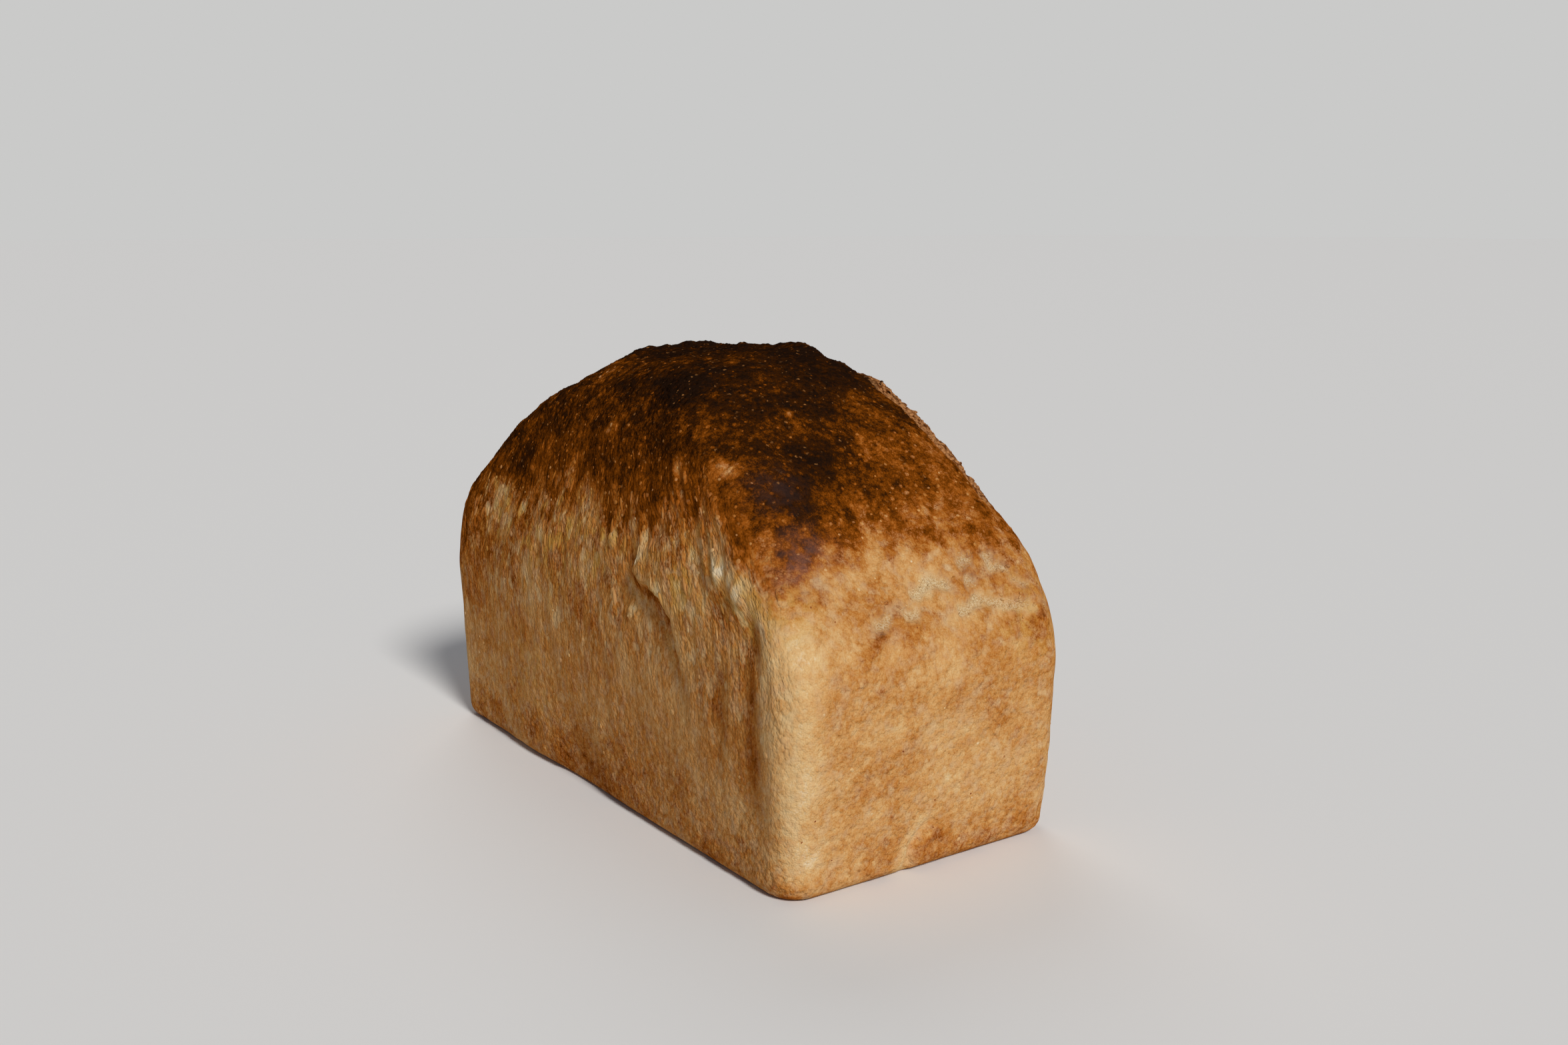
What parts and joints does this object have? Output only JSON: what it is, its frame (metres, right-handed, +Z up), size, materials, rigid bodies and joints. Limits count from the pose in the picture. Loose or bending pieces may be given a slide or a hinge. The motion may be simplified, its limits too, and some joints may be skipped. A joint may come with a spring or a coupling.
{
  "type": "tin loaf",
  "caption": "Uncut tin loaf with straight walls, a high arched dome and a score opened along its top.",
  "frame": {"origin": "middle of the flat base, on the surface the loaf stands on", "axes": "+X along the loaf's length towards its plain end wall, +Y across it towards the bloom behind the score, +Z up"},
  "size_m": [0.2213, 0.1044, 0.1427],
  "materials": {
    "crust": "matte baked crust, golden on the walls and dark brown on the dome"
  },
  "bodies": {
    "root": {"loaf": "crust"}
  },
  "joints": []
}
